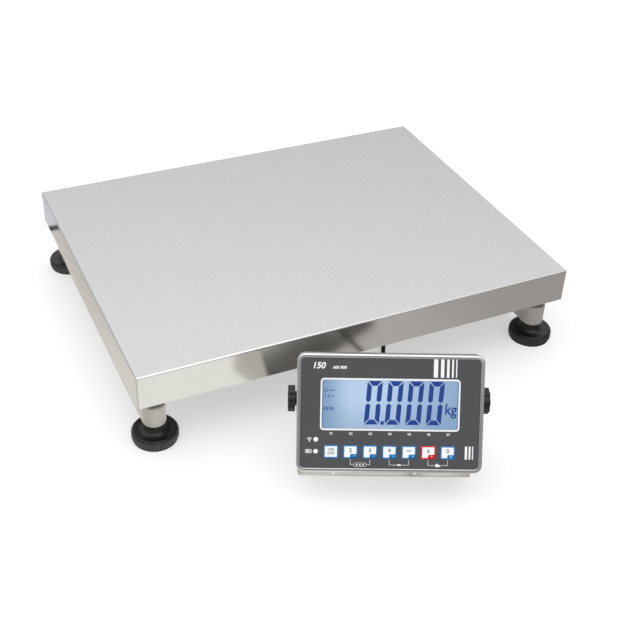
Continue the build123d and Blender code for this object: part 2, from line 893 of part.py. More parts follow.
def terminal_bracket():
    """Sheet bent to a U: base on the floor, two tapering arms up to the tilt axis."""
    front = -bracket_front
    rear = front + bracket_depth
    bottom = -pivot_height
    u_outer = box_between(-arm_outer, arm_outer, front, rear, bottom, arm_head_radius)
    u_outer = fillet(u_outer.faces().sort_by(Axis.Z)[0].edges().filter_by(Axis.Y), bracket_bend_radius)
    inner_radius = bracket_bend_radius - bracket_sheet
    u_inner = box_between(-arm_inner, arm_inner, front, rear, bottom + bracket_sheet, arm_head_radius)
    u_inner = fillet(u_inner.faces().sort_by(Axis.Z)[0].edges().filter_by(Axis.Y), inner_radius)
    sheet = u_outer - u_inner

    # Side view of the arms: tangent lines from the base corners to the round head
    head = Circle(arm_head_radius)
    shoulder = bottom + bracket_foot_radius
    taper = Polyline(
        (front, bottom),
        (front, shoulder),
        tangent_point(-arm_front_at_base, shoulder, -1),
        (0, 0),
        tangent_point(arm_rear_at_base, shoulder, 1),
        (rear, shoulder),
        (rear, bottom),
        close=True,
    )
    side_view = make_face(taper) + head
    sheet &= extrude(Plane.YZ * side_view, arm_outer, both=True)

    hole_y = front + bracket_hole_from_front
    for x in bracket_hole_x:
        sheet -= upright(x, hole_y, bottom, bottom + bracket_sheet, bracket_hole_radius)
    for side in (-1, 1):
        bore = Rot(0, 90, 0) * Cylinder(pivot_stud_radius + pivot_stud_clearance, bracket_sheet)
        sheet -= Pos(side * (arm_outer - bracket_sheet / 2), 0, 0) * bore

        # Bend relief at the front corners
        relief_start = side * (arm_outer - relief_width)
        sheet -= box_between(
            min(relief_start, side * arm_outer),
            max(relief_start, side * arm_outer),
            front,
            front + relief_length,
            bottom,
            bottom + relief_height,
        )
    return sheet


def tangent_point(y, z, side):
    """Where the line from (y, z) touches the arm's round head, on the front (-1) or the rear (1)."""
    distance = math.hypot(y, z)
    bearing = math.atan2(z, y)
    opening = math.acos(arm_head_radius / distance)
    angle = bearing + side * opening
    return (arm_head_radius * math.cos(angle), arm_head_radius * math.sin(angle))


def knob():
    """Lobed clamping knob on +Z with neck and stud; zero is the washer's outer face."""
    disc_start = knob_neck_length
    disc_end = disc_start + knob_disc_thickness
    disc = Circle(knob_radius)
    for i in range(knob_lobes):
        angle = 2 * math.pi * (i + 0.5) / knob_lobes
        reach = knob_radius + knob_scallop_radius - knob_scallop_depth
        disc -= Pos(reach * math.cos(angle), reach * math.sin(angle)) * Circle(knob_scallop_radius)
    disc = fillet(disc.vertices(), knob_lobe_round)
    body = extrude(Plane.XY.offset(disc_start) * disc, knob_disc_thickness)
    body = fillet(body.faces().sort_by(Axis.Z)[-1].edges(), knob_edge_round)
    body -= Pos(0, 0, disc_end - knob_dish_depth / 2) * Cylinder(knob_dish_radius, knob_dish_depth)
    body += upright(0, 0, 0, disc_start, knob_neck_radius)
    stud_end = -(washer_thickness + bracket_sheet + side_gap + pivot_stud_engagement)
    return body + upright(0, 0, stud_end, 0, pivot_stud_radius)


def knob_at(side):
    """The knob on one side of the bracket."""
    washer_outer = arm_outer + face_gap + washer_thickness
    return Rot(0, side * 90, 0) * Pos(0, 0, washer_outer + face_gap) * knob()


def washer_at(side):
    """The washer between arm and knob."""
    middle = arm_outer + face_gap + washer_thickness / 2
    ring = Cylinder(washer_radius, washer_thickness)
    ring -= Cylinder(pivot_stud_radius + pivot_stud_clearance, washer_thickness)
    return Rot(0, side * 90, 0) * Pos(0, 0, middle) * ring


# Cable


def base_gland():
    """Gland in the side of the centre channel."""
    x = channel_centre() + channel_width / 2
    z = base_top - base_gland_drop
    return Pos(x, base_gland_y, z) * Rot(0, 90, 0) * gland_body(channel_wall)


# The cable's route by hand: from the terminal's gland over the floor to the coil
cable_route = [
    (8.6, -389.9, -86.7),
    (14.4, -376.6, -95.3),
    (21.5, -360.0, -105.0),
    (32.0, -334.5, -115.0),
    (40.5, -310.5, -120.9),
    (46.8, -286.0, -124.1),
    (50.0, -254.0, -124.15),
    (55.5, -217.0, -124.15),
    (66.8, -181.5, -124.15),
    (86.0, -153.0, -124.1),
    (112.0, -133.5, -123.8),
    (129.9, -108.4, -123.4),
    (134.3, -91.9, -123.35),
]
# The lead that bends with the housing ends in the middle of its third run
lead_run_count = 3
# From the coil up to the gland in the base
tail_route = [
    (90.0, -34.1, -116.75),
    (75.0, -35.0, -113.8),
    (59.0, -40.5, -104.3),
    (43.5, -46.5, -95.0),
    (27.0, -50.0, -89.0),
    (11.6, -50.0, -89.0),
]


def split_route(points, run):
    """The route in two parts that meet in the middle of one run."""
    middle = tuple((a + b) / 2 for a, b in zip(points[run - 1], points[run]))
    return points[:run] + [middle], [middle] + points[run:]


def cord_radii(points):
    """Bend radius at each inner point: 0.45 of the shorter run over the tangent of half the turn."""
    vectors = [Vector(*b) - Vector(*a) for a, b in zip(points, points[1:])]
    radii = []
    for before, after in zip(vectors, vectors[1:]):
        half_turn = math.radians(before.get_angle(after)) / 2
        radii.append(0.45 * min(before.length, after.length) / math.tan(half_turn))
    return radii


def cord_tube(name, points):
    """Round cable along straight runs joined by tangent arcs."""
    radii = cord_radii(points)
    path = FilletPolyline(*points, radius=radii)
    start = Plane(origin=path @ 0, z_dir=path % 0)
    tube = sweep(start * Circle(cable_diameter / 2), path)
    expected = math.pi * cable_diameter**2 / 4 * path.length
    print(f"{name}: length {path.length:.1f}, volume {tube.volume / expected:.4f} of section x length")
    print("  radii", [round(r) for r in radii])
    return tube


def cable_coil():
    """Outer shape of the wound cable: a flat ring with rounded edges."""
    low = floor_level + tie_thickness
    high = low + coil_height
    ring = upright(coil_x, coil_y, low, high, coil_mean_radius + coil_spread)
    ring -= upright(coil_x, coil_y, low, high, coil_mean_radius - coil_spread)
    ends = ring.edges().filter_by(GeomType.CIRCLE)
    return fillet(ends, coil_edge_radius)


def coil_tie():
    """Straps round the coil's section at two places, which pass under the coil."""
    reach = coil_spread + tie_clearance
    half = tie_width / 2
    inside = tie_thickness + coil_height + tie_clearance
    outside = reach + tie_thickness
    strap = box_between(-outside, outside, -half, half, 0, inside + tie_thickness)
    strap -= box_between(-reach, reach, -half, half, tie_thickness - tie_clearance, inside)
    strap = Pos(coil_mean_radius, 0, floor_level) * strap
    return [Pos(coil_x, coil_y, 0) * Rot(0, 0, angle) * strap for angle in tie_angles]


# Assembly

lead_points, floor_points = split_route(cable_route, lead_run_count)

nodes = {
    "weighing_pan": weighing_pan(),
    "pan_stiffeners": pan_stiffeners(),
    "bumpers": bumpers(),
    "carrier_side_bars": carrier_side_bars(),
    "carrier_cross_bars": carrier_cross_bars(),
    "carrier_plate": carrier_plate(),
    "cell_spacers": cell_spacers(),
    "load_cell": load_cell(),
    "cell_screws": cell_screws(),
    "left_beam": side_beam(-1),
    "right_beam": side_beam(1),
    "cross_tubes": cross_tubes(),
    "centre_channel": centre_channel(),
    "leg_inserts": leg_inserts(),
    "stop_screws": stop_screws(),
    "stop_nuts": stop_nuts(),
    "level_holder": level_holder(),
    "level_vial": level_vial(),
    "base_gland": base_gland(),
    "cable_lead": cord_tube("cable_lead", lead_points),
    "cable_on_floor": cord_tube("cable_on_floor", floor_points),
    "cable_coil": cable_coil(),
    "cable_to_base": cord_tube("cable_to_base", tail_route),
    "coil_tie": coil_tie(),
    "terminal_bracket": bracket_place * terminal_bracket(),
}

foot_names = ("front_left", "front_right", "rear_left", "rear_right")
for name, (x, y) in zip(foot_names, mirrored_pairs(foot_span_x / 2, foot_span_y / 2)):
    nodes[f"foot_disc_{name}"] = foot_disc(x, y)
    nodes[f"foot_sole_{name}"] = foot_sole(x, y)

housing_nodes = {
    "front_shell": front_shell(),
    "housing_seal": housing_seal(),
    "rear_tub": rear_tub(),
    "rear_screws": rear_screws(),
    "overlay_foil": overlay_foil(),
    "display_window": display_window(),
    "display_glass": display_glass(),
    "display_frame": display_frame(),
    "main_board": main_board(),
    "board_spacers": board_spacers(),
    "battery_pack": battery_pack(),
    "key_switches": key_switches(),
    "status_lights": status_lights(),
    "cable_gland": cable_gland(),
    "power_inlet": power_inlet(),
    "pivot_inserts": pivot_inserts(),
    "knob_left": knob_at(-1),
    "knob_right": knob_at(1),
    "washer_left": washer_at(-1),
    "washer_right": washer_at(1),
}
for i, x in enumerate(key_places()):
    housing_nodes[f"key_{i + 1}"] = key(x)

for name, shape in housing_nodes.items():
    pieces = shape if isinstance(shape, list) else [shape]
    nodes[name] = [housing_place * piece for piece in pieces]

os.makedirs("parts", exist_ok=True)
for name, shape in nodes.items():
    pieces = shape if isinstance(shape, list) else [shape]
    solids = [solid for piece in pieces for solid in piece.solids()]
    export_step(Compound(children=solids), f"parts/{name}.step")
print(len(nodes), "nodes, floor at", round(floor_level, 2))
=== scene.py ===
import math

import bpy
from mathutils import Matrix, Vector


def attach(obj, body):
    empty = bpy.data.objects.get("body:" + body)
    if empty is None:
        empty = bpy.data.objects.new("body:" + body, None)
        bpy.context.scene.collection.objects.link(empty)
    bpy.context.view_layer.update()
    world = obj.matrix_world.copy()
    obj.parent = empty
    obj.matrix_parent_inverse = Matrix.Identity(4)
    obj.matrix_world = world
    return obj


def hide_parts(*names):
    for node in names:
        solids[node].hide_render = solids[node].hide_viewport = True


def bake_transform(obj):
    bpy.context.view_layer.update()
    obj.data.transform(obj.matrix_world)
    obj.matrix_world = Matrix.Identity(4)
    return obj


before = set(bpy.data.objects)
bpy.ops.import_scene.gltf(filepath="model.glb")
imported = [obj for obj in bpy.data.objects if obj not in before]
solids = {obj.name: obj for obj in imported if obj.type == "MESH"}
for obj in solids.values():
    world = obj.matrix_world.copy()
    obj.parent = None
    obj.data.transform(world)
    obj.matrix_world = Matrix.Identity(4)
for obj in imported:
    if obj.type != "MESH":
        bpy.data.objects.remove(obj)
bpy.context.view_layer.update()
print("frame loaded:", len(solids), "nodes")

mm = 0.001

# the terminal's face: u to the right and v up from the lower left corner of the foil, in mm
terminal = {
    "pivot": Vector((-37.3, -382.6, -21.6)),   # middle of the tilt axis
    "yaw": -23.6,
    "lean": 30.7,
    "foilFromPivot": (-111.0, -82.3),          # lower left corner of the foil
    "faceDepth": -28.0,
    "displayDepth": -25.1,
}
yawAngle = math.radians(terminal["yaw"])
leanAngle = math.radians(terminal["lean"])
faceRight = Vector((math.cos(yawAngle), math.sin(yawAngle), 0))
levelBack = Vector((-math.sin(yawAngle), math.cos(yawAngle), 0))
faceInward = levelBack * math.cos(leanAngle) - Vector((0, 0, math.sin(leanAngle)))
faceUp = levelBack * math.sin(leanAngle) + Vector((0, 0, math.cos(leanAngle)))


def onFace(u, v, depth):
    x = u + terminal["foilFromPivot"][0]
    z = v + terminal["foilFromPivot"][1]
    return (terminal["pivot"] + faceRight * x + faceInward * depth + faceUp * z) * mm


view = {
    "place": (-0.5857, -1.2845, 0.8756),
    "azimuth": -25.8012,
    "elevation": 35.9752,
    "roll": 2.215,
    "focalPixels": 1093.05,
    "framePixels": 620,
    "shiftX": -0.0024,
}


def addCamera():
    side, height, roll = (math.radians(view[k]) for k in ("azimuth", "elevation", "roll"))
    backward = Vector((math.sin(side) * math.cos(height), -math.cos(side) * math.cos(height), math.sin(height)))
    right = (-backward).cross(Vector((0, 0, 1))).normalized()
    upward = right.cross(-backward)
    turnedRight = right * math.cos(roll) + upward * math.sin(roll)
    turnedUp = upward * math.cos(roll) - right * math.sin(roll)
    data = bpy.data.cameras.new("photoCamera")
    data.sensor_width = 36
    data.lens = view["focalPixels"] / view["framePixels"] * 36
    data.shift_x = view["shiftX"]
    camera = bpy.data.objects.new("photoCamera", data)
    bpy.context.scene.collection.objects.link(camera)
    for row in range(3):
        camera.matrix_world[row][0] = turnedRight[row]
        camera.matrix_world[row][1] = turnedUp[row]
        camera.matrix_world[row][2] = backward[row]
        camera.matrix_world[row][3] = view["place"][row]
    bpy.context.scene.camera = camera


addCamera()
print("camera placed")


class Wire:
    # a node's output, with arithmetic
    def __init__(self, paint, socket):
        self.paint, self.socket = paint, socket

    def sum(self, kind, first, second):
        return self.paint.node("ShaderNodeMath", {"operation": kind}, {0: first, 1: second})

    def __add__(self, other):
        return self.sum("ADD", self, other)

    def __radd__(self, other):
        return self.sum("ADD", other, self)

    def __sub__(self, other):
        return self.sum("SUBTRACT", self, other)

    def __rsub__(self, other):
        return self.sum("SUBTRACT", other, self)

    def __mul__(self, other):
        return self.sum("MULTIPLY", self, other)

    def __rmul__(self, other):
        return self.sum("MULTIPLY", other, self)

    def __truediv__(self, other):
        return self.sum("DIVIDE", self, other)

    def root(self):
        return self.sum("POWER", self, 0.5)


class Paint:
    # one node tree and the few ways in which this file adds nodes to it
    def __init__(self, tree):
        self.tree = tree
        tree.nodes.clear()

    def node(self, kind, settings=None, values=None, output=0):
        made = self.tree.nodes.new(kind)
        for key, value in (settings or {}).items():
            if key == "stops":
                ramp = made.color_ramp
                while len(ramp.elements) < len(value):
                    ramp.elements.new(0.5)
                for element, (place, colour) in zip(ramp.elements, value):
                    element.position = place
                    element.color = (*colour, 1)
            else:
                setattr(made, key, value)
        for key, value in (values or {}).items():
            if isinstance(value, Wire):
                self.tree.links.new(value.socket, made.inputs[key])
            else:
                made.inputs[key].default_value = value
        return Wire(self, made.outputs[output]) if made.outputs else None

    def place(self):
        # position on the piece, in metres of the shared frame
        return self.node("ShaderNodeTexCoord", output="Object")

    def parts(self, vector):
        made = self.node("ShaderNodeSeparateXYZ", values={0: vector})
        return [Wire(self, made.socket.node.outputs[i]) for i in range(3)]

    def scaled(self, vector, factors):
        return self.node("ShaderNodeVectorMath", {"operation": "MULTIPLY"}, {0: vector, 1: factors})

    def size(self, value):
        return self.node("ShaderNodeMath", {"operation": "ABSOLUTE"}, {0: value})

    def along(self, vector, direction):
        return self.node("ShaderNodeVectorMath", {"operation": "DOT_PRODUCT"}, {0: vector, 1: direction}, "Value")

    def noise(self, vector, scale, detail=3.0, rough=0.5):
        return self.node("ShaderNodeTexNoise", None, {"Vector": vector, "Scale": scale, "Detail": detail, "Roughness": rough})

    def step(self, value, low, high, first=0.0, last=1.0):
        made = self.node("ShaderNodeMapRange", {"interpolation_type": "SMOOTHSTEP"}, {
            "Value": value, "From Min": low, "From Max": high, "To Min": first, "To Max": last})
        return made

    def blend(self, mask, first, second):
        return self.node("ShaderNodeMix", {"data_type": "RGBA"}, {0: mask, 6: first, 7: second}, 2)

    def bump(self, height, distance, strength=1.0):
        return self.node("ShaderNodeBump", None, {"Strength": strength, "Distance": distance, "Height": height})

    def finish(self, shader, output="ShaderNodeOutputMaterial"):
        self.node(output, values={0: shader})


def colour(red, green, blue):
    # 0-255 as read off a picture, to linear
    def linear(value):
        value = value / 255
        return value / 12.92 if value <= 0.04045 else ((value + 0.055) / 1.055) ** 2.4
    return (linear(red), linear(green), linear(blue), 1.0)


def newMaterial(name):
    material = bpy.data.materials.new(name)
    material.use_nodes = True
    return material, Paint(material.node_tree)


steel = {
    "panColour": colour(206, 207, 206),
    "topRoughness": 0.27,
    "skirtRoughness": 0.15,
    "streakWidth": 0.0004,                     # metres, fine lines of the brushing
    "bandWidth": 0.012,                        # soft bands one sees from afar
    "bendTop": -0.0026,                        # below this the pan's skirts start
    "housingColour": colour(205, 205, 207),
    "housingRoughness": 0.2,
    "bracketColour": colour(202, 200, 196),
    "bracketRoughness": 0.34,
}


def brushedSteel(name, base, topRoughness, sideRoughness, topRuns, sideRuns, split):
    # streaks run along topRuns above the height split and along sideRuns below it
    material, paint = newMaterial(name)
    place = paint.place()
    height = paint.parts(place)[2]
    fine, wide = 1 / steel["streakWidth"], 1 / steel["bandWidth"]

    def streaks(pitch, runs):
        across = [pitch if not run else pitch / 160 for run in runs]
        return paint.noise(paint.scaled(place, across), 1.0, 2.0)
    isTop = paint.step(height, split - 0.0004, split + 0.0004)
    fineTop, fineSide = streaks(fine, topRuns), streaks(fine, sideRuns)
    grain = fineTop * isTop + fineSide * (1 - isTop)
    bands = paint.noise(paint.scaled(place, [wide if not run else wide / 14 for run in topRuns]), 1.0, 3.0)
    cloud = paint.noise(place, 9.0, 4.0, 0.6)
    tone = 0.945 + grain * 0.04 + bands * 0.05 + cloud * 0.02
    shade = paint.node("ShaderNodeVectorMath", {"operation": "SCALE"}, {0: base[:3], "Scale": tone})
    rough = isTop * (topRoughness - sideRoughness) + sideRoughness - 0.05 + grain * 0.06 + cloud * 0.05
    relief = paint.bump(grain, 0.00002, 0.35)
    skin = paint.node("ShaderNodeBsdfPrincipled", None, {
        "Base Color": shade, "Metallic": 1.0, "Roughness": rough, "Normal": relief})
    paint.finish(skin)
    return material


plastic = {
    "black": colour(17, 17, 18),
    # painted highlight colour for the crests of the foot's ribs
    "ribCrest": colour(58, 58, 60),
    "grain": 0.0006,
    "roughness": 0.42,
    "rubber": colour(20, 20, 20),
    "cable": colour(22, 22, 23),
}


foot = {
    "middleX": 0.2975,
    "middleY": 0.2238,
    "floor": -0.1274,
    "ribRoot": 0.0309,
    "ribCrest": 0.0315,
    "hubProfile": ((21.0, 15.6), (18.4, 16.2), (16.2, 17.6), (14.7, 19.6), (13.9, 22.0), (13.6, 25.0), (13.6, 29.0), (13.0, 29.5), (8.0, 29.5)),
    "hubSides": 56,
}


def mouldedPlastic(name, base, roughness, grainSize, depth=0.00006, coat=0.0, ribbed=False):
    material, paint = newMaterial(name)
    place = paint.place()
    grain = paint.noise(place, 1 / grainSize, 2.0)
    scuffs = paint.step(paint.noise(place, 70.0, 5.0, 0.7), 0.52, 0.78)
    darker = tuple(part * 0.75 for part in base[:3]) + (1.0,)
    dusty = tuple(min(1, part * 1.25 + 0.012) for part in base[:3]) + (1.0,)
    shade = paint.blend(scuffs, paint.blend(grain, darker, base), dusty)
    if ribbed:                                 # painted highlight: rib crests lighter than the grooves between them
        x, y, z = paint.parts(place)
        fromFootX = paint.size(x) - foot["middleX"]
        fromFootY = paint.size(y) - foot["middleY"]
        reach = (fromFootX * fromFootX + fromFootY * fromFootY).root()
        shade = paint.blend(paint.step(reach, foot["ribRoot"], foot["ribCrest"]) * 0.8, shade, plastic["ribCrest"])
    rough = roughness - 0.04 + grain * 0.08 + scuffs * 0.1
    skin = paint.node("ShaderNodeBsdfPrincipled", None, {
        "Base Color": shade, "Roughness": rough, "Coat Weight": coat, "Specular IOR Level": 0.4,
        "Normal": paint.bump(grain, depth, 0.4)})
    paint.finish(skin)
    return material


coats = {
    "beam": colour(182, 179, 175),
    "hiddenFrame": colour(160, 160, 158),
    "board": colour(28, 92, 52),
    "boardTracks": colour(70, 140, 84),
    "brass": colour(196, 168, 104),
    "cell": colour(196, 198, 200),
    "screw": colour(176, 176, 178),
}


def lacquer(name, base, roughness, metallic, speckle=0.0011):
    # silver-grey coat with fine metal flakes and a few scuffs
    material, paint = newMaterial(name)
    place = paint.place()
    flakes = paint.noise(place, 1 / speckle, 2.0, 0.6)
    scuffs = paint.step(paint.noise(paint.scaled(place, (60, 60, 25)), 1.0, 5.0, 0.7), 0.6, 0.74)
    light = tuple(min(1, part * 1.12) for part in base[:3]) + (1.0,)
    dark = tuple(part * 0.86 for part in base[:3]) + (1.0,)
    shade = paint.blend(scuffs * 0.6, paint.blend(flakes, dark, light), dark)
    rough = roughness + flakes * 0.06 + scuffs * 0.12
    skin = paint.node("ShaderNodeBsdfPrincipled", None, {
        "Base Color": shade, "Metallic": metallic, "Roughness": rough,
        "Normal": paint.bump(flakes, 0.00002, 0.3)})
    paint.finish(skin)
    return material


face = {
    "foil": colour(74, 75, 78),
    "print": colour(240, 240, 240),
    "keyWhite": colour(238, 240, 243),
    "keyBlue": colour(0, 118, 190),
    "keyRed": colour(222, 0, 32),
    "keyInk": colour(52, 54, 58),
    "displayDim": colour(128, 162, 196),
    "displayBright": colour(192, 217, 245),
    # colour of the painted shadow along the edges of the glass
    "displayEdgeShadow": colour(70, 110, 156),
    "digit": colour(36, 70, 153),
    "digitSoft": colour(70, 118, 180),
}


def foilMaterial(name, base, roughness=0.5, grainSize=0.0005):
    # printed foil: fine matt texture and a slow change of tone
    material, paint = newMaterial(name)
    place = paint.place()
    grain = paint.noise(place, 1 / grainSize, 1.0)
    slow = paint.noise(place, 14.0, 2.0)
    low = tuple(part * 0.93 for part in base[:3]) + (1.0,)
    high = tuple(min(1, part * 1.06) for part in base[:3]) + (1.0,)
    shade = paint.blend(grain * 0.5 + slow * 0.5, low, high)
    skin = paint.node("ShaderNodeBsdfPrincipled", None, {
        "Base Color": shade, "Roughness": roughness - 0.03 + grain * 0.06, "Specular IOR Level": 0.3,
        "Normal": paint.bump(grain, 0.00001, 0.25)})
    paint.finish(skin)
    return material


def glowing(name, shade, paint, roughness):
    # mostly its own light, so that it keeps its colour behind the pane
    skin = paint.node("ShaderNodeBsdfPrincipled", None, {
        "Base Color": paint.node("ShaderNodeVectorMath", {"operation": "SCALE"}, {0: shade, "Scale": 0.12}),
        "Roughness": roughness, "Specular IOR Level": 0.2, "Emission Color": shade, "Emission Strength": 0.86})
    paint.finish(skin)


def displayMaterial():
    # lit liquid crystal glass: brightest left of the digits, dimmer outwards, with a painted shadow along its
    # left, right and top edges where the window's frame shades it
    material, paint = newMaterial("litDisplay")
    place = paint.place()
    offset = paint.node("ShaderNodeVectorMath", {"operation": "SUBTRACT"}, {0: place, 1: terminal["pivot"] * mm})
    u = paint.along(offset, faceRight) / mm - terminal["foilFromPivot"][0]
    v = paint.along(offset, faceUp) / mm - terminal["foilFromPivot"][1]
    fromLeft = paint.step(u, 22.0, 66.0)
    toRight = paint.step(u, 80.0, 200.0, 1.0, 0.25)
    fromBelow = paint.step(v, 46.0, 96.0, 0.55, 1.0)
    cloud = paint.noise(place, 22.0, 2.0)
    glow = fromLeft * toRight * fromBelow + cloud * 0.08
    shade = paint.blend(glow, face["displayDim"], face["displayBright"])
    # painted shadow of the window's frame along the left, right and top edges of the glass
    windowEdgeShadow = paint.step(u, 27.2, 28.0, 1.0, 0.0) + paint.step(u, 194.0, 194.8) + paint.step(v, 110.2, 110.9)
    shade = paint.blend(windowEdgeShadow * 0.75, shade, face["displayEdgeShadow"])
    glowing("litDisplay", shade, paint, 0.35 + cloud * 0.05)
    return material


def digitMaterial(name, base):
    material, paint = newMaterial(name)
    grain = paint.noise(paint.place(), 400.0, 2.0)
    dark = tuple(part * 0.85 for part in base[:3]) + (1.0,)
    glowing(name, paint.blend(grain, dark, base), paint, 0.4 + grain * 0.05)
    return material


def clearPane():
    material, paint = newMaterial("clearPane")
    haze = paint.noise(paint.place(), 90.0, 3.0)
    skin = paint.node("ShaderNodeBsdfPrincipled", None, {
        "Base Color": (0.05, 0.06, 0.08, 1.0), "Roughness": 0.05 + haze * 0.05, "Alpha": 0.03 + haze * 0.03})
    paint.finish(skin)
    return material


def boardMaterial():
    material, paint = newMaterial("circuitBoard")
    place = paint.place()
    tracks = paint.node("ShaderNodeTexVoronoi", {"feature": "DISTANCE_TO_EDGE"}, {"Vector": place, "Scale": 260.0})
    lines = paint.step(tracks, 0.03, 0.08, 1.0, 0.0)
    skin = paint.node("ShaderNodeBsdfPrincipled", None, {
        "Base Color": paint.blend(lines, coats["board"], coats["boardTracks"]), "Roughness": 0.35 + lines * 0.1,
        "Normal": paint.bump(lines, 0.00003, 0.4)})
    paint.finish(skin)
    return material


def vialMaterial():
    # yellow green spirit with its bubble in the middle
    material, paint = newMaterial("levelVial")
    place = paint.place()
    middle = Vector((0.2, -0.15, -0.0675))
    away = paint.node("ShaderNodeVectorMath", {"operation": "DISTANCE"}, {0: place, 1: middle}, "Value")
    bubble = paint.step(away, 0.0046, 0.0052, 1.0, 0.0)
    ring = paint.step(away, 0.0058, 0.006) * paint.step(away, 0.0064, 0.0066, 1.0, 0.0)
    spirit = paint.blend(bubble, colour(196, 214, 60), colour(236, 240, 170))
    skin = paint.node("ShaderNodeBsdfPrincipled", None, {
        "Base Color": paint.blend(ring, spirit, colour(30, 34, 12)), "Roughness": 0.12 + bubble * 0.05, "Coat Weight": 0.6})
    paint.finish(skin)
    return material


alongX, alongY = (True, False, False), (False, True, False)
looks = {
    "pan": brushedSteel("brushedPan", steel["panColour"], steel["topRoughness"], steel["skirtRoughness"],
                        alongY, (True, True, False), steel["bendTop"]),
    "housing": brushedSteel("brushedHousing", steel["housingColour"], steel["housingRoughness"],
                            steel["housingRoughness"], alongX, alongX, 0.0),
    "bracket": brushedSteel("brushedBracket", steel["bracketColour"], steel["bracketRoughness"],
                            steel["bracketRoughness"], alongX, alongX, 0.0),
    "beam": lacquer("silverCoat", coats["beam"], 0.36, 0.55),
    "hiddenFrame": lacquer("greyCoat", coats["hiddenFrame"], 0.4, 0.4),
    "screw": lacquer("zincScrews", coats["screw"], 0.28, 1.0, 0.0007),
    "cell": lacquer("milledAluminium", coats["cell"], 0.3, 1.0, 0.0009),
    "brass": lacquer("turnedBrass", coats["brass"], 0.25, 1.0, 0.0009),
    "plastic": mouldedPlastic("blackPlastic", plastic["black"], plastic["roughness"], plastic["grain"], coat=0.1),
    "ribbed": mouldedPlastic("ribbedPlastic", plastic["black"], plastic["roughness"], plastic["grain"], coat=0.1, ribbed=True),
    "rubber": mouldedPlastic("blackRubber", plastic["rubber"], 0.7, 0.0009),
    "cable": mouldedPlastic("cableSheath", plastic["cable"], 0.45, 0.0011, 0.00004),
    "inner": mouldedPlastic("greyPlastic", colour(190, 190, 188), 0.5, 0.0008),
    "foil": foilMaterial("greyFoil", face["foil"]),
    "print": foilMaterial("whitePrint", face["print"]),
    "keyWhite": foilMaterial("keyWhite", face["keyWhite"], 0.45),
    "keyBlue": foilMaterial("keyBlue", face["keyBlue"], 0.45),
    "keyRed": foilMaterial("keyRed", face["keyRed"], 0.45),
    "keyInk": foilMaterial("keyInk", face["keyInk"]),
    "digit": digitMaterial("digitInk", face["digit"]),
    "digitSoft": digitMaterial("digitSoftInk", face["digitSoft"]),
    "display": displayMaterial(),
    "pane": clearPane(),
    "board": boardMaterial(),
    "vial": vialMaterial(),
}
print("materials made:", len(looks))

nodeLooks = {
    "pan": ["weighing_pan", "pan_stiffeners"],
    "housing": ["front_shell", "rear_tub"],
    "bracket": ["terminal_bracket"],
    "beam": ["left_beam", "right_beam"],
    "hiddenFrame": ["carrier_side_bars", "carrier_cross_bars", "carrier_plate", "cross_tubes", "centre_channel"],
    "screw": ["cell_screws", "cell_spacers", "leg_inserts", "stop_screws", "stop_nuts", "rear_screws",
              "washer_left", "washer_right"],
    "cell": ["load_cell"],
    "brass": ["pivot_inserts", "board_spacers"],
    "plastic": ["level_holder", "base_gland", "cable_gland", "power_inlet", "knob_left", "knob_right", "coil_tie"],
    "ribbed": [],
    "rubber": ["bumpers", "housing_seal"],
    "inner": ["display_frame", "battery_pack", "key_switches"],
    "foil": ["overlay_foil"],
    "keyWhite": ["status_lights"],
    "display": ["display_glass"],
    "pane": ["display_window"],
    "board": ["main_board"],
    "vial": ["level_vial"],
}
for corner in ("front_left", "front_right", "rear_left", "rear_right"):
    nodeLooks["ribbed"].append("foot_disc_" + corner)
    nodeLooks["rubber"].append("foot_sole_" + corner)
nodeLooks["keyWhite"] += ["key_%d" % number for number in range(1, 8)]
for look, names in nodeLooks.items():
    for name in names:
        solids[name].data.materials.clear()
        solids[name].data.materials.append(looks[look])
print("nodes painted")


cable = {
    "diameter": 0.0065,
    "exit": (0.0086, -0.3899, -0.0867),
    "terminalRun": [                           # from the terminal's gland over the floor to the coil
        (0.0086, -0.3899, -0.0867), (0.0144, -0.3766, -0.0953), (0.0215, -0.3600, -0.1050),
        (0.0320, -0.3345, -0.1150), (0.0405, -0.3105, -0.1209), (0.0468, -0.2860, -0.1241),
        (0.0500, -0.2540, -0.12415), (0.0555, -0.2170, -0.12415), (0.0668, -0.1815, -0.12415),
        (0.0860, -0.1530, -0.1241), (0.1120, -0.1335, -0.1238), (0.1299, -0.1084, -0.1234)],
    "baseRun": [                               # from the coil up to the gland in the base
        (0.0750, -0.0350, -0.1138), (0.0590, -0.0405, -0.1043), (0.0435, -0.0465, -0.0950),
        (0.0270, -0.0500, -0.0890), (0.0116, -0.0500, -0.0890)],
    "coilMiddle": (0.090, -0.080),
    "coilRadii": (0.0459, 0.0393, 0.0327, 0.0261),
    "lowLayer": -0.12335,
    "highLayer": -0.11675,
    "firstAngle": -15.0,
    "lastAngle": 90.0,
    "pointsPerTurn": 16,
    "length": 2.25,
}


def coilPoints():
    # inwards turn by turn in the lower layer, up at the middle, outwards again in the upper one
    radii = list(cable["coilRadii"]) + list(reversed(cable["coilRadii"]))
    turns = len(radii) + (cable["lastAngle"] - cable["firstAngle"]) / 360
    count = round(turns * cable["pointsPerTurn"])
    points = []
    for index in range(count + 1):
        turned = index / count * turns
        ring = min(turned, len(radii) - 1)
        lower, share = int(ring), ring - int(ring)
        upper = min(lower + 1, len(radii) - 1)
        ease = max(0.0, (share - 0.75) * 4)
        radius = radii[lower] + (radii[upper] - radii[lower]) * ease
        half = len(cable["coilRadii"]) - 1
        lift = 0.0 if turned < half + 0.75 else min(1.0, (turned - half - 0.75) * 4)
        height = cable["lowLayer"] + (cable["highLayer"] - cable["lowLayer"]) * lift
        angle = math.radians(cable["firstAngle"] + 360 * turned)
        points.append((cable["coilMiddle"][0] + radius * math.cos(angle),
                       cable["coilMiddle"][1] + radius * math.sin(angle), height))
    return points


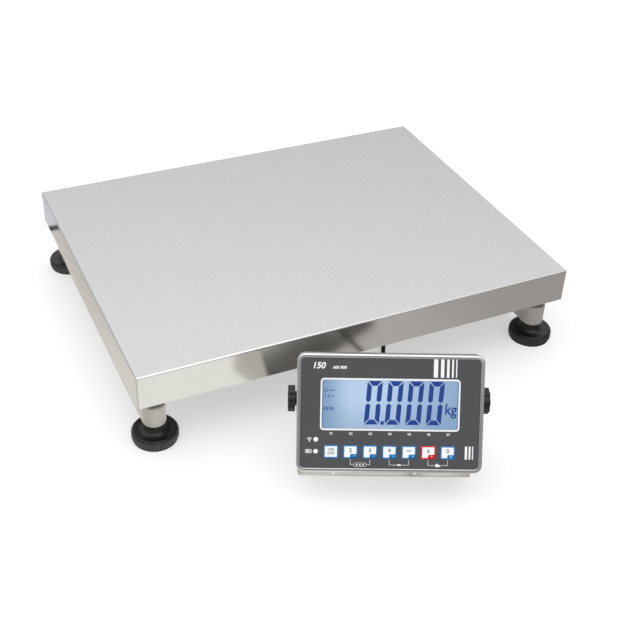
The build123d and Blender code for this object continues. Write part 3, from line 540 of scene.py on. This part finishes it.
def splineObject(name, points, bevel):
    data = bpy.data.curves.new(name, "CURVE")
    data.dimensions = "3D"
    data.resolution_u = 4
    data.bevel_depth = bevel
    data.bevel_resolution = 6
    data.use_fill_caps = True
    spline = data.splines.new("NURBS")
    spline.points.add(len(points) - 1)
    for point, place in zip(spline.points, points):
        point.co = (*place, 1)
    spline.order_u = 3
    spline.use_endpoint_u = True
    thing = bpy.data.objects.new(name, data)
    bpy.context.scene.collection.objects.link(thing)
    return thing


def meshOf(thing):
    bpy.context.view_layer.update()
    return bpy.data.meshes.new_from_object(thing.evaluated_get(bpy.context.evaluated_depsgraph_get()))


def addCable():
    route = cable["terminalRun"] + coilPoints() + cable["baseRun"]
    line = splineObject("cableLine", route, 0.0)
    path = [tuple(vertex.co) for vertex in meshOf(line).vertices]
    bpy.data.objects.remove(line)
    tube = splineObject("cableTube", route, cable["diameter"] / 2)
    mesh = meshOf(tube)
    bpy.data.objects.remove(tube)
    piece = bpy.data.objects.new("scaleCable", mesh)
    bpy.context.scene.collection.objects.link(piece)
    for polygon in mesh.polygons:
        polygon.use_smooth = True
    mesh.materials.clear()
    mesh.materials.append(looks["cable"])
    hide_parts("cable_lead", "cable_on_floor", "cable_coil", "cable_to_base")
    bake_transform(piece)
    return piece


addCable()
print("cable laid")


def addHub(corner, sideX, sideY):
    # smooth flare between the disc and the leg
    points, faces = [], []
    count = foot["hubSides"]
    for radius, height in foot["hubProfile"]:
        for index in range(count):
            angle = 2 * math.pi * index / count
            points.append((sideX * foot["middleX"] + radius * mm * math.cos(angle),
                           sideY * foot["middleY"] + radius * mm * math.sin(angle), foot["floor"] + height * mm))
    for ring in range(len(foot["hubProfile"]) - 1):
        for index in range(count):
            after = (index + 1) % count
            faces.append([ring * count + index, ring * count + after, (ring + 1) * count + after, (ring + 1) * count + index])
    mesh = bpy.data.meshes.new("footHub_" + corner)
    mesh.from_pydata(points, [], faces)
    for polygon in mesh.polygons:
        polygon.use_smooth = True
    mesh.materials.append(looks["plastic"])
    piece = bpy.data.objects.new("footHub_" + corner, mesh)
    bpy.context.scene.collection.objects.link(piece)
    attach(piece, "foot_" + corner)


for corner, sideX, sideY in (("front_left", -1, -1), ("front_right", 1, -1), ("rear_left", -1, 1), ("rear_right", 1, 1)):
    addHub(corner, sideX, sideY)
print("hubs made")


class Sheet:
    # polygons in face coordinates that become one thin printed piece
    def __init__(self):
        self.points, self.faces, self.inks, self.ink = [], [], [], 0

    def polygon(self, outline):
        first = len(self.points)
        self.points += outline
        self.faces.append(list(range(first, first + len(outline))))
        self.inks.append(self.ink)

    def ring(self, outer, inner):
        # strip between two outlines with equal counts
        count = len(outer)
        for index in range(count):
            after = (index + 1) % count
            self.polygon([outer[index], outer[after], inner[after], inner[index]])

    def bar(self, start, end, width):
        run = Vector((end[0] - start[0], end[1] - start[1])).normalized() * width / 2
        side = Vector((-run.y, run.x))
        corners = [Vector(start) - side, Vector(end) - side, Vector(end) + side, Vector(start) + side]
        self.polygon([tuple(corner) for corner in corners])

    def disc(self, middle, radius, inner=0.0, start=0.0, end=360.0, count=28):
        angles = [math.radians(start + (end - start) * index / count) for index in range(count + 1)]
        outer = [(middle[0] + radius * math.cos(a), middle[1] + radius * math.sin(a)) for a in angles]
        if inner == 0:
            self.polygon(outer[:-1])
            return
        near = [(middle[0] + inner * math.cos(a), middle[1] + inner * math.sin(a)) for a in angles]
        for index in range(count):
            self.polygon([outer[index], outer[index + 1], near[index + 1], near[index]])

    def words(self, text, middle, height, slant=0.0, bold=0.0, squeeze=1.0):
        # letters of Blender's own typeface, centred on middle
        data = bpy.data.curves.new("letters", "FONT")
        data.body = text
        data.size = 1.0
        data.offset = bold
        data.align_x = "CENTER"
        data.resolution_u = 5
        thing = bpy.data.objects.new("letters", data)
        bpy.context.scene.collection.objects.link(thing)
        mesh = meshOf(thing)
        bpy.data.objects.remove(thing)
        low = min(vertex.co.y for vertex in mesh.vertices)
        high = max(vertex.co.y for vertex in mesh.vertices)
        size = height / (high - low)
        first = len(self.points)
        for vertex in mesh.vertices:
            up = (vertex.co.y - (low + high) / 2) * size
            self.points.append((middle[0] + vertex.co.x * size * squeeze + up * slant, middle[1] + up))
        for polygon in mesh.polygons:
            self.faces.append([first + index for index in polygon.vertices])
            self.inks.append(self.ink)
        bpy.data.meshes.remove(mesh)

    def build(self, name, body, inks, depth):
        mesh = bpy.data.meshes.new(name)
        mesh.from_pydata([onFace(u, v, depth) for u, v in self.points], [], self.faces)
        for look in inks:
            mesh.materials.append(looks[look])
        for polygon, ink in zip(mesh.polygons, self.inks):
            polygon.material_index = ink
        mesh.update()
        piece = bpy.data.objects.new(name, mesh)
        bpy.context.scene.collection.objects.link(piece)
        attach(piece, body)
        return piece


def roundedOutline(left, low, right, high, radius, perCorner=8):
    outline = []
    corners = ((right - radius, high - radius, 0), (left + radius, high - radius, 90),
               (left + radius, low + radius, 180), (right - radius, low + radius, 270))
    for x, y, start in corners:
        for index in range(perCorner + 1):
            angle = math.radians(start + 90 * index / perCorner)
            outline.append((x + radius * math.cos(angle), y + radius * math.sin(angle)))
    return outline


prints = {
    "lift": 0.04,                              # mm in front of the foil
    "frame": (24.2, 47.8, 197.1, 113.1),
    "frameLine": 2.0,
    "frameRadius": 4.6,
    "keyFirst": 38.4,
    "keyPitch": 24.2,
    "keyMiddle": 21.0,
    "keySize": (18.0, 16.5),
    "keyBorder": 1.5,
    "tabSize": (9.4, 5.6),
    "captionHeight": 43.9,
    "captionSize": 3.2,
    "lights": ((19.4, 36.2), (19.4, 21.2)),
    "lightRadius": 2.9,
    "bars": ((166.0, 5.2), (174.2, 4.2), (181.2, 3.2), (187.0, 2.2), (191.6, 1.4)),
    "barLow": 115.2,
    "barHigh": 138.0,
    "lowBars": ((206.4, 3.0), (210.9, 2.2), (214.6, 1.4)),
    "lowBarLow": 12.9,
    "lowBarHigh": 29.3,
    "number": ("150", (22.0, 128.6), 8.2),     # plain number in the upper left corner
    "smallNumber": ("600 800", (47.5, 126.4), 4.0),
}


def keyMiddle(number):
    return prints["keyFirst"] + prints["keyPitch"] * (number - 1)


def addFacePrint():
    sheet = Sheet()
    left, low, right, high = prints["frame"]
    line = prints["frameLine"]
    sheet.ring(roundedOutline(left, low, right, high, prints["frameRadius"]),
               roundedOutline(left + line, low + line, right - line, high - line, prints["frameRadius"] - line))
    for number in range(1, 8):                 # plain numbers over the keys
        sheet.words("0%d" % number, (keyMiddle(number), prints["captionHeight"]), prints["captionSize"], bold=0.02)
    for x, y in prints["lights"]:
        sheet.disc((x, y), prints["lightRadius"])
    for radius in (1.8, 3.2, 4.6):             # radio waves beside the upper light
        sheet.disc((11.4, 34.0), radius, radius - 0.7, 45, 135, 10)
    sheet.disc((11.4, 33.8), 0.8)
    sheet.ring(roundedOutline(6.6, 18.8, 14.6, 23.6, 0.7, 3), roundedOutline(7.2, 19.4, 14.0, 23.0, 0.3, 3))
    sheet.bar((8.0, 21.2), (10.4, 21.2), 2.4)
    sheet.bar((11.2, 21.2), (12.4, 21.2), 2.4)
    for first in (2, 4, 6):                    # lines that pair the keys
        start, end, depth = keyMiddle(first), keyMiddle(first + 1), 4.9
        sheet.bar((start, 11.4), (start, depth - 0.2), 0.45)
        sheet.bar((end, 11.4), (end, depth - 0.2), 0.45)
        gap = {2: 8.2, 4: 3.4, 6: 4.4}[first]
        middle = (start + end) / 2
        sheet.bar((start, depth), (middle - gap, depth), 0.45)
        sheet.bar((middle + gap, depth), (end, depth), 0.45)
        if first == 2:                         # each pair with a plain sign of its own
            sheet.ring(roundedOutline(middle - 8.2, depth - 2.4, middle + 8.2, depth + 2.4, 2.3, 6),
                       roundedOutline(middle - 7.8, depth - 2.0, middle + 7.8, depth + 2.0, 1.9, 6))
            for shift in (-4.0, 0.0, 4.0):
                sheet.disc((middle + shift, depth), 1.0)
        elif first == 4:
            sheet.bar((middle - 2.4, depth), (middle + 2.4, depth), 1.8)
        else:
            sheet.disc((middle - 1.0, depth), 2.2)
            sheet.bar((middle, depth - 0.6), (middle + 3.2, depth - 0.6), 2.4)
    for middle, width in prints["bars"]:       # plain upright bars above the window and beside the keys
        sheet.bar((middle, prints["barLow"]), (middle, prints["barHigh"]), width)
    for middle, width in prints["lowBars"]:
        sheet.bar((middle, prints["lowBarLow"]), (middle, prints["lowBarHigh"]), width)
    for text, place, size in (prints["number"], prints["smallNumber"]):
        sheet.words(text, place, size, slant=0.2, bold=0.03)
    sheet.build("facePrint", "terminal_housing", ["print"], terminal["faceDepth"] - prints["lift"])


keyFaces = {                                   # what each key carries: word lines, or a plain sign
    1: ("ON", "OFF"), 2: ("2",), 3: ("3",), 4: ("+",), 5: ("-",), 6: ("6",), 7: ("0",),
}


def addKeyPrint(number):
    sheet = Sheet()
    middle = keyMiddle(number)
    width, height = prints["keySize"]
    left, right = middle - width / 2, middle + width / 2
    low, high = prints["keyMiddle"] - height / 2, prints["keyMiddle"] + height / 2
    line = prints["keyBorder"]
    sheet.ring(roundedOutline(left, low, right, high, 1.2, 4),
               roundedOutline(left + line, low + line, right - line, high - line, 0.5, 4))
    if number > 1:                             # coloured tab in the lower right corner
        tabWidth, tabHeight = prints["tabSize"]
        sheet.polygon([(right - tabWidth, low + 0.5), (right - 0.5, low + 0.5), (right - 0.5, low + tabHeight),
                       (right - tabWidth + 1.2, low + tabHeight), (right - tabWidth, low + tabHeight - 1.2)])
    sheet.ink = 1
    signs = keyFaces[number]
    lift = 0.4 if number == 1 else 2.0
    for index, word in enumerate(signs):
        place = (middle, prints["keyMiddle"] + lift + (len(signs) - 1) * 2.4 - index * 4.8)
        if word == "-":
            sheet.bar((middle - 2.6, place[1]), (middle + 2.6, place[1]), 0.9)
        elif word == "+":
            sheet.bar((middle - 2.6, place[1]), (middle + 2.6, place[1]), 0.9)
            sheet.bar((middle, place[1] - 2.6), (middle, place[1] + 2.6), 0.9)
        else:
            sheet.words(word, place, 5.0 if number > 1 else 3.6, bold=0.015)
    sheet.ink = 2
    if number > 1:                             # small arrow on the tab
        x, y = right - 4.8, low + 3.0
        turns = {2: 0, 3: 90, 4: 180, 5: 0, 6: 90, 7: 270}
        angle = math.radians(turns[number])
        tip = [(2.0, 0.0), (0.1, 1.5), (0.1, -1.5)]
        sheet.polygon([(x + a * math.cos(angle) - b * math.sin(angle), y + a * math.sin(angle) + b * math.cos(angle)) for a, b in tip])
        sheet.bar((x - 1.8 * math.cos(angle), y - 1.8 * math.sin(angle)), (x + 0.3 * math.cos(angle), y + 0.3 * math.sin(angle)), 1.0)
    inks = ["keyRed" if number == 6 else "keyBlue", "keyInk", "print"]
    sheet.build("keyPrint%d" % number, "key_%d" % number, inks, terminal["faceDepth"] - prints["lift"])


digits = {
    "lefts": (78.4, 104.3, 129.9, 155.4),
    "low": 55.0,
    "height": 54.6,
    "width": 18.9,
    "bar": 6.1,
    "slant": 0.072,
    "gap": 0.35,
    "point": (99.0, 54.9, 4.4),
    "unit": (186.2, 73.0, 18.6),
}


def addDigits():
    sheet = Sheet()
    low, tall, wide, bar, gap = (digits[k] for k in ("low", "height", "width", "bar", "gap"))
    for left in digits["lefts"]:
        def at(x, y):
            return (left + x + y * digits["slant"], low + y)
        half, tip = tall / 2, bar * 0.42
        for flip in (False, True):             # upper half, then the same turned over
            def put(points):
                placed = [(x, tall - y) if flip else (x, y) for x, y in points]
                sheet.polygon([at(x, y) for x, y in placed])
            put([(gap + 0.9, 0), (wide - gap - 0.9, 0), (wide - bar - gap, bar), (bar + gap, bar)])
            for mirrored in (False, True):
                side = [(0, 0.9 + gap), (bar - gap, bar + gap * 1.6), (bar - gap * 0.4, half - gap - tip),
                        (bar / 2, half - gap * 2), (0, half - gap - tip)]
                put([(wide - x, y) if mirrored else (x, y) for x, y in side])
    x, y, size = digits["point"]
    sheet.polygon([(x, y), (x + size, y), (x + size + 0.2, y + size), (x + 0.2, y + size)])
    sheet.words("kg", digits["unit"][:2], digits["unit"][2], slant=0.06, bold=0.014, squeeze=0.84)
    sheet.ink = 1                              # small status signs at the left: steady, zero, full load
    sheet.disc((31.0, 97.2), 2.3, 1.4)
    sheet.bar((34.6, 97.2), (42.0, 97.2), 1.2)
    sheet.words("0", (35.0, 90.3), 4.4, bold=0.02)
    for side in (-1, 1):
        sheet.polygon([(35.0 + side * 2.8, 90.3), (35.0 + side * 5.4, 92.0), (35.0 + side * 5.4, 88.6)])
    for shift in (0.0, 3.4, 6.8, 10.2):
        sheet.bar((29.6 + shift, 72.4), (29.6 + shift, 76.6), 2.1)
    sheet.build("displayDigits", "terminal_housing", ["digit", "digitSoft"], terminal["displayDepth"] - 0.05)


addFacePrint()
for number in range(1, 8):
    addKeyPrint(number)
addDigits()
print("prints made")


studio = {
    "floorHeight": -0.1274,
    "floorSize": 14.0,
    "lift": 0.5,                               # share of plain white in the floor that the camera sees
    "floorLevel": 1.25,
    "frontLeftFloor": colour(250, 247, 241),   # painted reflections: floor tones that only the steel mirrors, while the camera sees the plain floor
    "frontFloor": colour(189, 183, 179),
    "frontRightFloor": colour(170, 164, 159),
    "leftFloor": colour(213, 209, 203),
    "rearLeftFloor": colour(193, 189, 183),
    # painted reflection: a dark line that the left skirt mirrors
    "reflectedDarkLine": colour(60, 60, 62),
    "behindFloor": colour(203, 201, 207),
    "dome": ((0.0, (0.40, 0.395, 0.39)), (0.38, (0.51, 0.52, 0.53)), (0.6, (0.96, 0.96, 0.955)), (1.0, (0.9, 0.9, 0.9))),
    "worldLevel": 1.25,
    "flagBearing": 31.0,                       # degrees to the right of the operator's side
    "flagLevel": (0.08, 0.08, 0.085, 1),
    "cardAim": (0.134, -0.629, 0.766),
    "cardLevel": (1.55, 1.54, 1.52, 1),
    "frontAim": (-0.337, -0.877, 0.342),
    "frontLevel": (0.28, 0.28, 0.29, 1),
    "lampPlace": (-0.4, -0.1, 2.6),
    "lampSize": 2.6,
    "lampPower": 22.0,
}


def addFloor():
    half = studio["floorSize"] / 2
    height = studio["floorHeight"]
    mesh = bpy.data.meshes.new("floor")
    mesh.from_pydata([(-half, -half, height), (half, -half, height), (half, half, height), (-half, half, height)], [], [(0, 1, 2, 3)])
    floor = bpy.data.objects.new("floor", mesh)
    bpy.context.scene.collection.objects.link(floor)
    material, paint = newMaterial("paleFloor")
    x, y, z = paint.parts(paint.place())
    rays = paint.node("ShaderNodeLightPath")
    isGlossy = Wire(paint, rays.socket.node.outputs["Is Glossy Ray"])
    isCamera = Wire(paint, rays.socket.node.outputs["Is Camera Ray"])
    matt = paint.node("ShaderNodeBsdfDiffuse", None, {"Color": (0.94, 0.94, 0.935, 1)})
    white = paint.node("ShaderNodeEmission", None, {"Color": (1, 1, 1, 1), "Strength": 1.0})
    seen = paint.node("ShaderNodeMixShader", None, {0: isCamera * studio["lift"], 1: matt, 2: white})
    # painted reflections: tones the floor shows only to glossy rays, for the pan's skirts to mirror
    front = paint.blend(paint.step(x, 0.08, 0.33), studio["frontFloor"], studio["frontRightFloor"])
    front = paint.blend(paint.step(x, -0.15, -0.08, 1.0, 0.0), front, studio["frontLeftFloor"])
    left = paint.blend(paint.step(y, -0.12, 0.16), studio["leftFloor"], studio["rearLeftFloor"])
    mirrored = paint.blend(paint.step(x, -0.35, -0.33, 1.0, 0.0), front, left)
    mirrored = paint.blend(paint.step(y, 0.334, 0.338), mirrored, studio["reflectedDarkLine"])
    mirrored = paint.blend(paint.step(y, 0.35, 0.354), mirrored, studio["behindFloor"])
    glow = paint.node("ShaderNodeEmission", None, {"Color": mirrored, "Strength": studio["floorLevel"]})
    paint.finish(paint.node("ShaderNodeMixShader", None, {0: isGlossy, 1: seen, 2: glow}))
    mesh.materials.append(material)


def addLight():
    world = bpy.data.worlds.new("studio")
    bpy.context.scene.world = world
    world.use_nodes = True
    paint = Paint(world.node_tree)
    direction = paint.node("ShaderNodeTexCoord", output="Generated")
    x, y, height = paint.parts(direction)
    dome = paint.node("ShaderNodeValToRGB", {"stops": studio["dome"]}, {0: height})
    dim = paint.step(paint.along(direction, Vector(studio["frontAim"]).normalized()), 0.82, 0.94)
    bearing = math.radians(studio["flagBearing"])
    pastEdge = paint.step(paint.along(direction, Vector((math.cos(bearing), math.sin(bearing), 0))), -0.02, 0.07)
    flag = pastEdge * paint.step(y, -0.2, 0.0, 1.0, 0.0) * paint.step(height, 0.62, 0.8, 1.0, 0.0)
    card = paint.step(paint.along(direction, Vector(studio["cardAim"]).normalized()), 0.87, 0.93)
    lit = paint.blend(dim, dome, studio["frontLevel"])
    lit = paint.blend(card, lit, studio["cardLevel"])
    lit = paint.blend(flag, lit, studio["flagLevel"])
    soft = paint.node("ShaderNodeBackground", None, {"Color": lit, "Strength": studio["worldLevel"]})
    plain = paint.node("ShaderNodeBackground", None, {"Color": (1, 1, 1, 1), "Strength": 1.0})
    rays = paint.node("ShaderNodeLightPath", output="Is Camera Ray")
    both = paint.node("ShaderNodeMixShader", None, {0: rays, 1: soft, 2: plain})
    paint.finish(both, "ShaderNodeOutputWorld")
    data = bpy.data.lights.new("softBox", "AREA")
    data.shape = "SQUARE"
    data.size = studio["lampSize"]
    data.energy = studio["lampPower"]
    lamp = bpy.data.objects.new("softBox", data)
    lamp.location = studio["lampPlace"]
    aim = Vector((0, 0, -0.1)) - Vector(studio["lampPlace"])
    lamp.rotation_euler = aim.to_track_quat("-Z", "Y").to_euler()
    bpy.context.scene.collection.objects.link(lamp)
    bpy.context.scene.view_settings.view_transform = "Standard"


addFloor()
addLight()
print("floor and light set")
